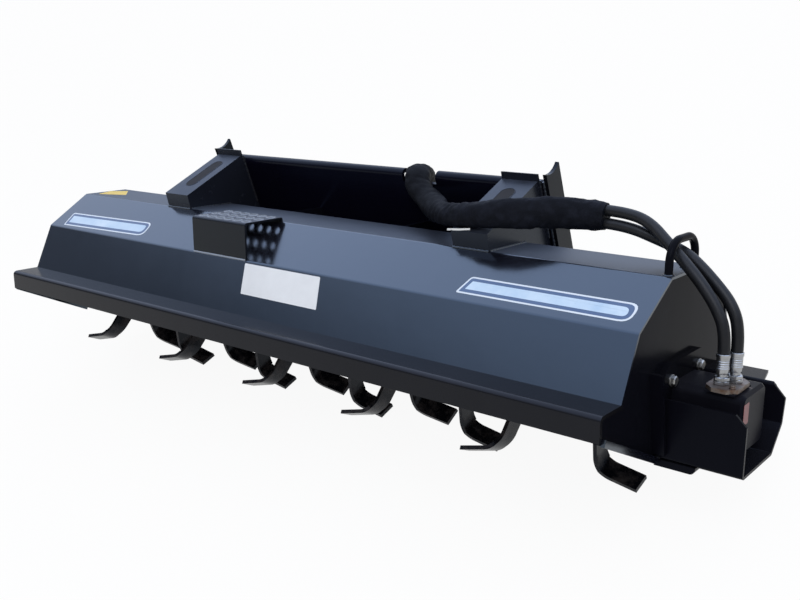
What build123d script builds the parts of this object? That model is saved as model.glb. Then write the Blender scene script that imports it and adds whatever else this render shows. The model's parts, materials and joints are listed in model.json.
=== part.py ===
"""Rotavator: a hydraulic rotary tiller carried on a loader's quick-attach plate, in millimetres.

Two frames are used. The hood frame has X across the machine from its middle, Y rearward from the
front lip and Z up from the front ledge. The plate frame has its origin on the top front edge of the
attach plate, Y rearward and Z up the plate. The machine parks on its tines and the feet of the
attach plate, so that the plate stands upright and the hood leans back by the plate's lean.
"""
import math
import os

from build123d import *

# Hood: bent sheet over the rotor
hood_width = 1900.0
hood_sheet = 5.0
hood_bend = 10.0
ledge_depth = 77.0
steep_run = 56.0
steep_rise = 120.0
slope_run = 128.0
slope_rise = 80.0
top_depth = 143.0
rear_bend_height = 115.0
rear_panel_foot = -95.0
rear_return = 35.0

# Front lip: an angle under the hood's front edge
lip_drop = 50.0
lip_sheet = 8.0
lip_bend = 11.0
lip_tuck = 8.0

# End plates and the runner bars along their lower edges
end_plate = 10.0
end_recess = 2.0
skid_start_z = -51.0
skid_end_y = 240.0
skid_end_z = -156.0
end_floor_z = -165.0
end_floor_y = 262.0
end_heel_y = 545.0
end_heel_z = -118.0
runner_thickness = 14.0
runner_stand = 9.0

# Attach plate
plate_lean = 21.5
plate_top_y = 450.0
plate_top_z = 347.0
plate_thickness = 10.0
plate_height = 508.0
plate_bend = 16.0
plate_span = 1124.0
hook_length = 46.0
hook_drop_angle = 45.0
pin_shelf_depth = 78.0
pin_slot_length = 76.0
pin_slot_width = 32.0
pin_slot_spacing = 840.0
side_flange = 10.0
side_flange_depth = 58.0
ear_rise = 4.0
ear_dip = 7.0
notch_center = 190.0
notch_width = 104.0
notch_depth = 50.0

# Braces and gussets between hood and attach plate
brace_inset = 68.0
brace_width = 95.0
brace_wall = 8.0
brace_top = 10.0
brace_front_y = 250.0
brace_front_z = 238.0
brace_head_z = 335.0
brace_lip = 13.0
brace_slot_length = 125.0
brace_slot_width = 30.0
brace_slot_depth = 5.0
gusset_offset = 190.0
gusset_thickness = 8.0

# Step on the front slope
step_center = -184.0
step_width = 197.0
step_sheet = 5.0
step_height = 212.0
step_bend = 7.0
step_hole_radius = 9.5
step_hole_pitch = 32.0
step_hole_columns = 6
step_row_pitch = 41.0
step_rows = 3

# Rotor
rotor_y = 332.0
rotor_z = -66.0
rotor_tube_radius = 38.0
rotor_tube_bore = 30.0
rotor_end_gap = 12.0
flange_pitch = 175.0
flange_radius = 100.0
flange_thickness = 10.0
tine_corner = 193.0
tine_blade = 101.0
tine_turn = 76.0
tine_slant = 20.0
tine_thickness = 9.0
tine_root_width = 50.0
tine_width = 43.0
tine_bend = 48.0
tine_root = 58.0
tine_tip_skew = 3.0
tine_spread = 60.0
# Each flange: how far forward of straight down its right-pointing tine is, and which way its left-pointing
# one is from there. Both have a twin on the flange's other side.
tine_places = [(-18.5, 1), (-6.0, -1)] * 4 + [(101.5, -1), (-6.0, -1)]
shaft_radius = 20.0
shaft_clearance = 0.05
shaft_seat = 60.0

# Left bearing
bearing_flange = 160.0
bearing_flange_thickness = 14.0
bearing_hub_radius = 52.0
bearing_hub_length = 34.0
bearing_hole_radius = 46.0
bolt_radius = 8.0

# Motor at the right end
motor_flange = 200.0
motor_flange_thickness = 12.0
motor_flange_corner = 34.0
motor_bolt_spacing = 132.0
motor_size = 120.0
motor_length = 138.0
motor_corner = 16.0
motor_pilot_radius = 48.0
port_out = 104.0
port_y = 305.0
port_block_width = 58.0
port_block_depth = 84.0
port_plate_z = 5.0
port_plate_width = 62.0
port_plate_depth = 92.0
port_plate_thickness = 8.0
port_plate_corner = 17.0
fitting_dx = 7.5
fitting_dy = 13.5
fitting_hex = 26.0
fitting_hex_height = 15.0
fitting_neck_radius = 9.0
fitting_neck_height = 5.0
ferrule_radius = 13.2
fitting_height = 59.0

# Guard round the motor
guard_reach = 169.0
guard_sheet = 6.0
guard_bend = 9.0
guard_front_y = 238.0
guard_top_z = -30.0
guard_floor_z = -153.0
guard_floor_y = 394.0
guard_bevel_y = 444.0
guard_bevel_z = -102.0
guard_rear_y = 456.0
guard_flange_y = 523.0
guard_flange_reach = 122.0
guard_corner = 22.0
rib_width = 25.0
rib_thickness = 10.0
rib_top_y = 191.0
rib_top_z = 29.0
rib_lean = 35.0
rib_bottom_z = -139.0
guard_foot_reach = 82.0
guard_foot_width = 46.0
guard_foot_thickness = 14.0

# Hoses
hose_radius = 11.5
loop_bar_radius = 8.0
loop_inset = 13.0
loop_front_y = 273.0
loop_rear_y = 392.0
loop_top_z = 264.0
loop_bend = 40.0
sleeve_radius = 25.0
coupler_radius = 18.0
coupler_length = 82.0

half_width = hood_width / 2
brace_center = plate_span / 2 - brace_inset
port_x = half_width + port_out
loop_x = half_width - loop_inset
lean = math.radians(plate_lean)


def offset_points(points, distance):
    """The same path moved to the right of its travel."""
    directions = []
    for start, end in zip(points, points[1:]):
        length = math.dist(start, end)
        directions.append(((end[0] - start[0]) / length, (end[1] - start[1]) / length))
    moved = [(points[0][0] + directions[0][1] * distance, points[0][1] - directions[0][0] * distance)]
    for point, before, after in zip(points[1:], directions, directions[1:]):
        normal = (before[1] + after[1], -before[0] - after[0])
        scale = distance / (1 + before[0] * after[0] + before[1] * after[1])
        moved.append((point[0] + normal[0] * scale, point[1] + normal[1] * scale))
    last = directions[-1]
    moved.append((points[-1][0] + last[1] * distance, points[-1][1] - last[0] * distance))
    return moved


def bend_radii(points, inner, outer):
    """One radius for each corner: outer where the path turns right, inner where it turns left."""
    radii = []
    for before, corner, after in zip(points, points[1:], points[2:]):
        turn = ((corner[0] - before[0]) * (after[1] - corner[1])
                - (corner[1] - before[1]) * (after[0] - corner[0]))
        radii.append(outer if turn < 0 else inner)
    return radii


def bent_section(points, thickness, radius):
    """Section of a bent sheet: the path is one face of it, and the sheet lies on its right."""
    outer = FilletPolyline(*points, radius=bend_radii(points, radius - thickness, radius))
    inner = FilletPolyline(*offset_points(points, thickness),
                           radius=bend_radii(points, radius, radius - thickness))
    ends = [Line(outer @ 0, inner @ 0), Line(outer @ 1, inner @ 1)]
    return make_face([*outer.edges(), *inner.edges(), *ends])


def polygon(*points):
    return make_face(Polyline(*points, close=True))


def across(section, start, width):
    """A section in the Y-Z plane, extruded along X from start."""
    return Pos(start, 0, 0) * extrude(Plane.YZ * section, amount=width)


def plate_front(z):
    """Y of the attach plate's front face at a height in the hood frame."""
    return plate_top_y + (plate_top_z - z) * math.tan(lean)


def both_ends(solid):
    """A solid made for the right end, and its mirror image for the left end."""
    return {"right": solid, "left": mirror(solid, about=Plane.YZ)}


# Hood outline, from the ledge over the top to the foot of the rear panel
front_bend = (ledge_depth + steep_run, steep_rise)
top_front = (front_bend[0] + slope_run, steep_rise + slope_rise)
top_rear = (top_front[0] + top_depth, top_front[1])
rear_bend = (plate_front(rear_bend_height), rear_bend_height)
rear_foot = (plate_front(rear_panel_foot), rear_panel_foot)
sill = (ledge_depth - steep_run / 4, -steep_rise / 4)
hood_path = [sill, front_bend, top_front, top_rear, rear_bend, rear_foot]
to_plate = Pos(0, plate_top_y, plate_top_z) * Rot(X=plate_lean)
to_rotor = Pos(0, rotor_y, rotor_z)


def hood_block():
    """The space under the hood's outer face, which trims what stands on the hood."""
    skin = FilletPolyline(*hood_path, radius=hood_bend)
    floor = Polyline(skin @ 1, (rear_foot[0], -steep_rise), (sill[0], -steep_rise), skin @ 0)
    return across(make_face([*skin.edges(), *floor.edges()]), -hood_width, 2 * hood_width)


def hood():
    path = [*hood_path, (rear_foot[0] - rear_return, rear_foot[1])]
    sheet = across(bent_section(path, hood_sheet, hood_bend), -half_width, hood_width)
    below_ledge = Pos(0, ledge_depth, -steep_rise / 2) * Box(2 * hood_width, 2 * steep_run, steep_rise)
    return sheet - below_ledge


def front_lip():
    path = [(0, -lip_drop), (0, 0), (ledge_depth + lip_tuck, 0)]
    return across(bent_section(path, lip_sheet, lip_bend), -half_width, hood_width)


def end_plates(hood_sheet_solid, lip_solid):
    """Plates that close the hood's ends inside its sheet, with a hole for the rotor's drive."""
    corners = [(0, 0), (ledge_depth, 0), front_bend, top_front, top_rear, rear_bend]
    radii = [lip_bend, 0.5, hood_bend, hood_bend, hood_bend, hood_bend]
    edge = FilletPolyline((0, skid_start_z), *corners, (plate_front(end_heel_z), end_heel_z), radius=radii)
    floor = Polyline(edge @ 1, (end_heel_y, end_floor_z), (end_floor_y, end_floor_z), (skid_end_y, skid_end_z),
                     edge @ 0)
    outline = make_face([*edge.edges(), *floor.edges()])
    solid = across(outline, half_width - end_recess - end_plate, end_plate)
    drive_hole = to_rotor * Pos(half_width, 0, 0) * Rot(Y=90) * Cylinder(motor_pilot_radius, 4 * end_plate)
    solid = solid - drive_hole - hood_sheet_solid - lip_solid
    return both_ends(solid.solids().sort_by(SortBy.VOLUME)[-1])


def runners():
    """Bars on the outer faces of the end plates, along the slanted lower edges."""
    rise = runner_thickness
    end_y = skid_end_y - 5
    section = polygon((lip_sheet + 3, skid_start_z + rise * 0.6), (end_y, skid_end_z + rise * 0.6),
                      (end_y - 4, skid_end_z - rise * 0.4), (lip_sheet, skid_start_z - rise * 0.4))
    return both_ends(across(section, outer_face, runner_stand))


def attach_plate():
    """Upright sheet with a pin shelf along its foot and a hook along its top."""
    drop = math.radians(hook_drop_angle)
    path = [(pin_shelf_depth, -plate_height), (0, -plate_height), (0, 0),
            (hook_length * math.cos(drop), -hook_length * math.sin(drop))]
    inner_span = plate_span - 2 * side_flange
    sheet = across(bent_section(path, plate_thickness, plate_bend), -inner_span / 2, inner_span)
    notch = Pos(notch_center, 0, 0) * Box(notch_width, 4 * hook_length, 2 * notch_depth)
    slot = extrude(SlotOverall(pin_slot_length, pin_slot_width), amount=3 * plate_thickness, both=True)
    shelf_middle = (plate_thickness + pin_shelf_depth) / 2
    slots = [Pos(x, shelf_middle, -plate_height) * slot for x in (-pin_slot_spacing / 2, pin_slot_spacing / 2)]
    return to_plate * (sheet - notch - slots)


def side_flanges(foot_drop):
    """Flanges at the plate's ends, whose ears rise past the hook and whose feet reach the ground."""
    dip = ThreePointArc((0, 0), (side_flange_depth * 0.45, -ear_dip), (side_flange_depth, ear_rise))
    toe = 14.0
    rest = Polyline(dip @ 1, (side_flange_depth, toe - foot_drop), (side_flange_depth - toe, -foot_drop),
                    (toe, -foot_drop), (0, toe - foot_drop), (0, 0))
    outline = make_face([*dip.edges(), *rest.edges()])
    return both_ends(to_plate * across(outline, plate_span / 2 - side_flange, side_flange))


def braces(block):
    """Hollow sloped braces from the hood's top to the attach plate, each with a slot in its top."""
    head_y = plate_front(brace_head_z)
    outline = [(brace_front_y, brace_front_z), (head_y, brace_head_z),
               (plate_front(rear_bend_height), rear_bend_height), (top_rear[0], rear_bend_height),
               (top_front[0], top_front[1] - hood_sheet)]
    rise = (brace_head_z - brace_front_z) / (head_y - brace_front_y)
    slope = math.atan(rise)
    shell = across(polygon(*outline), -brace_width / 2, brace_width)
    lowered = brace_top / math.cos(slope)
    hollow_front = brace_front_y + brace_wall
    hollow = polygon((hollow_front, brace_front_z + rise * brace_wall - lowered),
                     (head_y + brace_wall, brace_head_z + rise * brace_wall - lowered),
                     (plate_front(0), 0), (hollow_front + brace_wall, 0))
    shell -= across(hollow, brace_wall - brace_width / 2, brace_width - 2 * brace_wall)
    lip = polygon((head_y - brace_wall, brace_head_z - brace_wall * rise),
                  (head_y - brace_wall - brace_lip * math.tan(lean), brace_head_z + brace_lip),
                  (plate_front(brace_head_z + brace_lip), brace_head_z + brace_lip), (head_y, brace_head_z))
    shell += across(lip, -brace_width / 2, brace_width)
    middle_y = (brace_front_y + head_y) / 2
    middle_z = (brace_front_z + brace_head_z) / 2
    slot = extrude(SlotOverall(brace_slot_length, brace_slot_width), amount=brace_slot_depth, both=True)
    shell -= Pos(0, middle_y, middle_z) * Rot(X=math.degrees(slope)) * Rot(Z=90) * slot
    return both_ends(Pos(brace_center, 0, 0) * (shell - block))


def gussets(block):
    """Webs between the hood's rear slope and the attach plate."""
    web = polygon((top_rear[0], top_rear[1]), (plate_front(top_rear[1]), top_rear[1]),
                  (plate_front(rear_bend_height), rear_bend_height), (top_rear[0], rear_bend_height))
    solid = across(web, gusset_offset - gusset_thickness / 2, gusset_thickness) - block
    return both_ends(solid)


def step(block):
    """A bent step on the front slope, open at its sides, with rows of grip holes in its tread."""
    front = front_bend[0]
    path = [(front, 0), (front, step_height), (top_front[0], step_height), (top_front[0], slope_rise)]
    shell = across(bent_section(path, step_sheet, step_bend), step_center - step_width / 2, step_width)
    hole = Cylinder(step_hole_radius, 4 * step_sheet)
    middle = (front + top_front[0]) / 2
    pattern = GridLocations(step_hole_pitch, step_row_pitch, step_hole_columns, step_rows)
    holes = [Pos(step_center, middle, step_height) * place * hole for place in pattern]
    return shell - holes - block


def tine():
    """A strap from its flange's left face that bends under the flange into a blade to the right.

    The bend line is slanted across the strap, which tips the blade's front edge outward.
    """
    face = -flange_thickness / 2 - tine_thickness
    turn = math.radians(tine_turn)
    slant = math.radians(tine_slant)
    corner = tine_corner * math.cos(slant)
    tip = face + tine_blade * math.sin(turn)
    path = [(tip, -corner - tine_blade * math.cos(turn)), (face, -corner), (face, 0)]
    section = Plane.XZ * bent_section(path, tine_thickness, tine_bend)
    sheet = extrude(section, amount=tine_corner, both=True)
    fold = Plane(origin=(face, 0, -corner), z_dir=(-math.sin(turn), 0, 1 + math.cos(turn)))
    rear = (tine_bend - tine_thickness / 2) * (math.tan(turn / 2) - math.sin(turn / 2)) * math.tan(slant)
    half = tine_width / math.cos(slant) / 2
    plan = polygon((-tip, -half), (tip - tine_tip_skew, -half), (tip, half), (-tip, half))
    blade = split(sheet, fold, keep=Keep.BOTTOM) & Pos(0, rear, 0) * extrude(plan, 2 * tine_corner, both=True)
    tilt = Rot(X=tine_slant) * Pos(0, -tine_corner * math.sin(slant), 0)
    root, end = tine_root_width / 2, tine_width / 2
    taper = polygon((-root, -tine_root), (root, -tine_root), (end, -tine_corner), (end, -2 * tine_corner),
                    (-end, -2 * tine_corner), (-end, -tine_corner))
    strap = (tilt * split(sheet, fold, keep=Keep.TOP)) & across(taper, -tine_corner, 2 * tine_corner)
    return strap, tilt * blade


def tine_flange(index):
    """One flange with its four tines: two point right and two point left."""
    right = tine()
    left = [mirror(piece, about=Plane.YZ) for piece in right]
    right_angle, side = tine_places[index]
    flange = Rot(Y=90) * Cylinder(flange_radius, flange_thickness)
    for angle, pieces in ((right_angle, right), (right_angle + side * tine_spread, left)):
        for piece in pieces:
            flange += [Rot(X=-angle) * piece, Rot(X=180 - angle) * piece]
    flange -= Rot(Y=90) * Cylinder(rotor_tube_radius, 2 * flange_thickness)
    x = (index - (len(tine_places) - 1) / 2) * flange_pitch
    return to_rotor * Pos(x, 0, 0) * flange


inner_face = half_width - end_recess - end_plate
outer_face = half_width - end_recess
tube_end = inner_face - rotor_end_gap


def rotor_tube():
    tube = Cylinder(rotor_tube_radius, 2 * tube_end) - Cylinder(rotor_tube_bore, 2 * tube_end)
    return to_rotor * Rot(Y=90) * tube


def stub_shaft(end):
    """A shaft with a hub that fills the tube's end, from the tube to the end of its seat."""
    hub = Cylinder(rotor_tube_bore, shaft_seat, align=(Align.CENTER, Align.CENTER, Align.MAX))
    reach = end - tube_end
    shaft = Cylinder(shaft_radius, reach, align=(Align.CENTER, Align.CENTER, Align.MIN))
    return to_rotor * Pos(tube_end, 0, 0) * Rot(Y=90) * (hub + shaft)


def bolt_holes(spacing, depth):
    pattern = GridLocations(spacing, spacing, 2, 2)
    return [place * Cylinder(bolt_radius, depth) for place in pattern]


def bearing():
    """Four-bolt flanged bearing housing on the left end plate, closed by its cover."""
    low = (Align.CENTER, Align.CENTER, Align.MIN)
    plate = extrude(RectangleRounded(bearing_flange, bearing_flange, motor_corner), bearing_flange_thickness)
    hub = Cylinder(bearing_hub_radius, bearing_hub_length, align=low)
    body = plate + hub
    body = fillet(body.faces().sort_by(Axis.Z)[-1].edges(), 6)
    seat = Cylinder(shaft_radius + shaft_clearance, bearing_hub_length - 6, align=low)
    body = body - seat - bolt_holes(bearing_flange * 0.72, 4 * bearing_flange_thickness)
    return to_rotor * Pos(-outer_face, 0, 0) * Rot(Y=-90) * body


def motor_plate():
    """Square flange that bolts the motor to the right end plate."""
    plate = extrude(RectangleRounded(motor_flange, motor_flange, motor_flange_corner), motor_flange_thickness)
    plate -= Cylinder(motor_pilot_radius, 4 * motor_flange_thickness)
    plate -= bolt_holes(motor_bolt_spacing, 4 * motor_flange_thickness)
    return to_rotor * Pos(outer_face, 0, 0) * Rot(Y=90) * plate


motor_face = outer_face + motor_flange_thickness


def motor():
    """Motor body with a round pilot in its flange and a blind seat for the shaft."""
    low = (Align.CENTER, Align.CENTER, Align.MIN)
    body = extrude(RectangleRounded(motor_size, motor_size, motor_corner), motor_length)
    body = chamfer(body.faces().sort_by(Axis.Z)[-1].edges(), 6)
    pilot = Cylinder(motor_pilot_radius - 0.3, motor_flange_thickness, align=(Align.CENTER, Align.CENTER, Align.MAX))
    seat = Pos(0, 0, -2 * motor_flange_thickness) * Cylinder(
        shaft_radius + shaft_clearance, shaft_seat + 2 * motor_flange_thickness, align=low)
    return to_rotor * Pos(motor_face, 0, 0) * Rot(Y=90) * (body + pilot - seat)


port_seat_z = port_plate_z - port_plate_thickness
motor_top_z = rotor_z + motor_size / 2


def port_block():
    height = port_seat_z - motor_top_z
    return Pos(port_x, port_y, motor_top_z + height / 2) * Box(port_block_width, port_block_depth, height)


def port_plate():
    """Eight-sided plate that clamps the two hose fittings to the motor's ports."""
    outline = chamfer(Rectangle(port_plate_width, port_plate_depth).vertices(), port_plate_corner)
    return Pos(port_x, port_y, port_seat_z) * extrude(outline, port_plate_thickness)


fitting_places = {"a": (port_x - fitting_dx, port_y - fitting_dy), "b": (port_x + fitting_dx, port_y + fitting_dy)}
ferrule_base = fitting_hex_height + fitting_neck_height


def fitting(place):
    """Straight hose end: a hexagon, a neck and the crimped ferrule that the hose leaves."""
    low = (Align.CENTER, Align.CENTER, Align.MIN)
    hexagon = extrude(RegularPolygon(fitting_hex / 2, 6, major_radius=False), fitting_hex_height)
    neck = Cylinder(fitting_neck_radius, ferrule_base, align=low)
    ferrule = Pos(0, 0, ferrule_base) * Cylinder(ferrule_radius, fitting_height - ferrule_base, align=low)
    return Pos(place[0], place[1], port_plate_z) * (hexagon + neck + ferrule)


def motor_guard():
    """Bent guard round the motor, open at its top and outer end, with a flange on its rear wall."""
    path = [(guard_flange_y, guard_top_z), (guard_rear_y, guard_top_z), (guard_bevel_y, guard_bevel_z),
            (guard_floor_y, guard_floor_z), (guard_front_y, guard_floor_z), (guard_front_y, guard_top_z)]
    reach = guard_reach + half_width - outer_face
    shell = across(bent_section(path, guard_sheet, guard_bend), outer_face, reach)
    outer_end = half_width + guard_reach
    corner = Plane.XZ * polygon((outer_end + 1, guard_top_z - guard_corner), (outer_end + 1, guard_top_z + 20),
                                (outer_end - guard_corner - 20, guard_top_z + 20),
                                (outer_end - guard_corner, guard_top_z))
    shell -= extrude(corner, amount=hood_width, both=True)
    flange_end = half_width + guard_flange_reach
    beyond = polygon((flange_end, guard_rear_y + 2), (hood_width, guard_rear_y + 2), (hood_width, guard_flange_y + 2),
                     (flange_end - 14, guard_flange_y + 2))
    return shell - Pos(0, 0, guard_top_z - guard_bend) * extrude(beyond, 3 * guard_bend)


def guard_rib():
    """Bar that stiffens the end plate in front of the motor guard."""
    bottom_y = rib_top_y + rib_lean
    section = polygon((rib_top_y, rib_top_z), (rib_top_y + rib_thickness, rib_top_z),
                      (bottom_y + rib_thickness, rib_bottom_z), (bottom_y, rib_bottom_z))
    return across(section, outer_face, rib_width)


def guard_foot():
    """Bar under the guard's floor at the end plate, with a round outer corner."""
    outline = Rectangle(guard_foot_reach, guard_foot_width, align=(Align.MIN, Align.MIN))
    bar = Pos(outer_face, guard_front_y, guard_floor_z - guard_foot_thickness) * extrude(
        outline, guard_foot_thickness)
    outer_edge = bar.edges().filter_by(Axis.Y).sort_by(Axis.X)[-2:].sort_by(Axis.Z)[0]
    return fillet(outer_edge, guard_foot_thickness * 0.8)


def rod(points, radius, radii):
    """A round bar or hose along straight runs joined by tangent arcs."""
    path = FilletPolyline(*points, radius=radii)
    return sweep(Plane(origin=path @ 0, z_dir=path % 0) * Circle(radius), path=path)


def hose_loop(block):
    """Bent bar that stands on the hood's top and holds both hoses."""
    foot = top_front[1] - 2 * hood_sheet
    points = [(loop_x, loop_front_y, foot), (loop_x, loop_front_y, loop_top_z),
              (loop_x, loop_rear_y, loop_top_z), (loop_x, loop_rear_y, foot)]
    return rod(points, loop_bar_radius, loop_bend) - block


def cord_radii(points):
    """The largest arc at each corner of a cord's route that its two runs leave room for."""
    radii = []
    for before, corner, after in zip(points, points[1:], points[2:]):
        incoming = Vector(*corner) - Vector(*before)
        outgoing = Vector(*after) - Vector(*corner)
        half_turn = math.radians(incoming.get_angle(outgoing)) / 2
        radii.append(0.45 * min(incoming.length, outgoing.length) / math.tan(half_turn))
    return radii


def cord(name, points, radius):
    radii = cord_radii(points)
    solid = rod(points, radius, radii)
    length = FilletPolyline(*points, radius=radii).length
    print(name, "length", round(length), "radii", [round(value) for value in radii],
          "volume over section times length", round(solid.volume / (math.pi * radius**2 * length), 4))
    return solid


ferrule_top = port_plate_z + fitting_height
bundle_spread = 13.2
bundle_lead = 46.0


def in_hood_frame(points):
    """Points of the plate frame as points of the hood frame."""
    return [tuple((to_plate * Pos(*point)).position) for point in points]


def beside_end(end, inner, side):
    """Where the two hoses meet a sleeve's end: for each, the point on its face and one further out."""
    face = Plane(origin=end, x_dir=side, z_dir=Vector(*end) - Vector(*inner))
    return [(tuple(face.from_local_coords((offset, 0, 0))), tuple(face.from_local_coords((offset, 0, bundle_lead))))
            for offset in (bundle_spread, -bundle_spread)]


# Sleeve round both hoses in the hood frame: over the right brace and up to the notch
sleeve_route = [(772, 333, 288), (692, 325, 291), (600, 274, 286), (510, 258, 279), (430, 282, 281),
                (372, 334, 280), (296, 385, 300)]
# The same sleeve in the plate frame: through the notch and down behind the plate
sleeve_drop = [(196, 8, -16), (150, 60, -28), (126, 98, -84), (118, 108, -155), (116, 108, -230)]
upper_end, lower_end = beside_end(sleeve_route[0], sleeve_route[1], (0, 0, 1))
tail_end_b, tail_end_a = beside_end(sleeve_drop[-1], sleeve_drop[-2], (1, 0, 0))

# Hose routes in the hood frame, from the ferrules through the loop to the sleeve
hose_route_a = [(*fitting_places["a"], ferrule_top), (*fitting_places["a"], 108), (half_width + 83, 294, 152),
                (half_width + 55, 298, 192), (half_width + 13, 308, 225), (half_width - 36, 323, 254),
                (half_width - 84, 334, 286), upper_end[1], upper_end[0]]
hose_route_b = [(*fitting_places["b"], ferrule_top), (*fitting_places["b"], 109), (half_width + 99, 322, 154),
                (half_width + 73, 328, 192), (half_width + 36, 336, 220), (half_width - 12, 344, 236),
                (half_width - 66, 346, 251), lower_end[1], lower_end[0]]
# Hose ends below the sleeve, in the plate frame
tail_route_a = [*tail_end_a, (100, 110, -318), (98, 112, -360), (101, 112, -400)]
tail_route_b = [*tail_end_b, (130, 110, -316), (136, 108, -354), (139, 106, -390)]


def coupler(route, length):
    """Flat-faced quick coupler that hangs on a hose's end, built in the plate frame."""
    end = Vector(*route[-1])
    before = Vector(*route[-2])
    high = (Align.CENTER, Align.CENTER, Align.MIN)
    body = Cylinder(coupler_radius - 5, length * 0.3, align=high)
    body += Pos(0, 0, length * 0.3) * Cylinder(coupler_radius, length * 0.5, align=high)
    body += Pos(0, 0, length * 0.8) * Cylinder(coupler_radius - 3, length * 0.2, align=high)
    return to_plate * (Plane(origin=end, z_dir=end - before) * body)


def build():
    block = hood_block()
    nodes = {"hood": hood(), "front_lip": front_lip()}
    pairs = {
        "end_plate": end_plates(nodes["hood"], nodes["front_lip"]),
        "runner": runners(),
        "brace": braces(block),
        "plate_gusset": gussets(block),
    }
    nodes["step"] = step(block)
    nodes["rotor_tube"] = rotor_tube()
    stub = stub_shaft(motor_face + shaft_seat - 4)
    nodes["drive_stub"] = stub
    nodes["idle_stub"] = mirror(stub_shaft(outer_face + bearing_hub_length - 10), about=Plane.YZ)
    for index in range(len(tine_places)):
        nodes[f"tine_flange_{index + 1}"] = tine_flange(index)
    parked_rotor = Compound([Rot(X=-plate_lean) * nodes[f"tine_flange_{n}"] for n in (1, 2)])
    plate_top = Rot(X=-plate_lean) * Pos(0, plate_top_y, plate_top_z)
    foot_drop = plate_top.position.Z - parked_rotor.bounding_box().min.Z
    nodes["attach_plate"] = attach_plate()
    pairs["side_flange"] = side_flanges(foot_drop)
    nodes["bearing_housing"] = bearing()
    nodes["motor_flange"] = motor_plate()
    nodes["motor"] = motor()
    nodes["port_block"] = port_block()
    nodes["port_plate"] = port_plate()
    nodes["motor_guard"] = motor_guard() - nodes["motor_flange"]
    nodes["guard_rib"] = guard_rib() - nodes["motor_flange"]
    nodes["guard_foot"] = guard_foot() - nodes["motor_flange"]
    nodes["hose_loop"] = hose_loop(block)
    for name, place in fitting_places.items():
        nodes[f"fitting_{name}"] = fitting(place)
    for name, sides in pairs.items():
        for side, solid in sides.items():
            nodes[f"{name}_{side}"] = solid
    cords = {
        "hose_a": cord("hose_a", hose_route_a, hose_radius),
        "hose_b": cord("hose_b", hose_route_b, hose_radius),
        "hose_sleeve": cord("hose_sleeve", sleeve_route + in_hood_frame(sleeve_drop), sleeve_radius),
        "hose_tail_a": to_plate * cord("hose_tail_a", tail_route_a, hose_radius),
        "hose_tail_b": to_plate * cord("hose_tail_b", tail_route_b, hose_radius),
        "coupler_a": coupler(tail_route_a, coupler_length),
        "coupler_b": coupler(tail_route_b, coupler_length * 0.9),
    }
    return nodes, cords


def main():
    nodes, cords = build()
    parked = {name: Rot(X=-plate_lean) * solid for name, solid in nodes.items()}
    box = Compound(list(parked.values())).bounding_box()
    park = Pos(-box.center().X, -box.center().Y, -box.min.Z) * Rot(X=-plate_lean)
    print("rotor axis at", park * to_rotor)
    print("plate top at", park * to_plate)
    os.makedirs("parts", exist_ok=True)
    for name, solid in {**nodes, **cords}.items():
        placed = park * solid
        solids = placed.solids()
        export_step(solids[0] if len(solids) == 1 else Compound(solids), f"parts/{name}.step")


main()
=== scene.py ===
"""Looks of the rotavator, in metres.

Camera, materials, hoses with their sleeve, fittings, fasteners, welds, blank labels and the studio.
"""
import json
import math
import random

import bpy
from mathutils import Matrix, Vector, noise


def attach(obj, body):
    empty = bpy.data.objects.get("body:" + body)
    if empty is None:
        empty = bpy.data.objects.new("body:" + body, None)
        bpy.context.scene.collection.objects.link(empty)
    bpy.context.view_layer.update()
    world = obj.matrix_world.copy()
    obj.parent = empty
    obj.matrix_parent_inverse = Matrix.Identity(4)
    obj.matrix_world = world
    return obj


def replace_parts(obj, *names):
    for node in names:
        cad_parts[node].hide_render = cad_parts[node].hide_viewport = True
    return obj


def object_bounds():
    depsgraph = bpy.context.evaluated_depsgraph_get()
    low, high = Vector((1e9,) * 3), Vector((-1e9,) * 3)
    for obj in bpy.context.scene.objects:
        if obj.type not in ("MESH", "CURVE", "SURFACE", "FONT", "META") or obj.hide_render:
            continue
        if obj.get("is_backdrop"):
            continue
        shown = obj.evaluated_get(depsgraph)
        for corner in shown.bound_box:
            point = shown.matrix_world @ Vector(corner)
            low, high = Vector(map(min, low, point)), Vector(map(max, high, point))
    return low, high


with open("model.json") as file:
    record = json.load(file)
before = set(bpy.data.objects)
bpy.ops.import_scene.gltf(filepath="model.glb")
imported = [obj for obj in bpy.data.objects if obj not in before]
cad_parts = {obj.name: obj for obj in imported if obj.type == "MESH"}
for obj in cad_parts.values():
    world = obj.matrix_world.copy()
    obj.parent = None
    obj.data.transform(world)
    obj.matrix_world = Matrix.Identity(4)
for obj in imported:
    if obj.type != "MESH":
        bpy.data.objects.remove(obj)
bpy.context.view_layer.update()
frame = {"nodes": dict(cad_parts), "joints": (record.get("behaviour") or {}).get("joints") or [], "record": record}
nodes = frame["nodes"]
axis = Vector(frame["joints"][0]["pos_m"])
random.seed(7)

LEAN = math.radians(21.5)
COS, SIN = math.cos(LEAN), math.sin(LEAN)

# Places in the hood frame, in millimetres: the rotor's axle and the level tops of the hood and the step
ROTOR_Y, ROTOR_Z = 332, -66
HOOD_TOP, STEP_TOP = 200, 212


def turned(x, y, z):
    """A direction of the hood frame as a direction of the scene."""
    return Vector((x, y * COS + z * SIN, -y * SIN + z * COS))


def hood(x, y, z):
    """A point of the hood frame, in millimetres, as a point of the scene."""
    return axis + turned(x, y - ROTOR_Y, z - ROTOR_Z) / 1000


OUT, LEFT, UP = turned(1, 0, 0), turned(-1, 0, 0), turned(0, 0, 1)
PLATE_ORIGIN = hood(0, 450, 347)


def plate(x, y, z):
    """A point of the attach plate's frame, in millimetres, as a point of the scene."""
    return PLATE_ORIGIN + Vector((x, y, z)) / 1000


# Camera, solved from the attach plate and the hood's parallel edges

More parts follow.
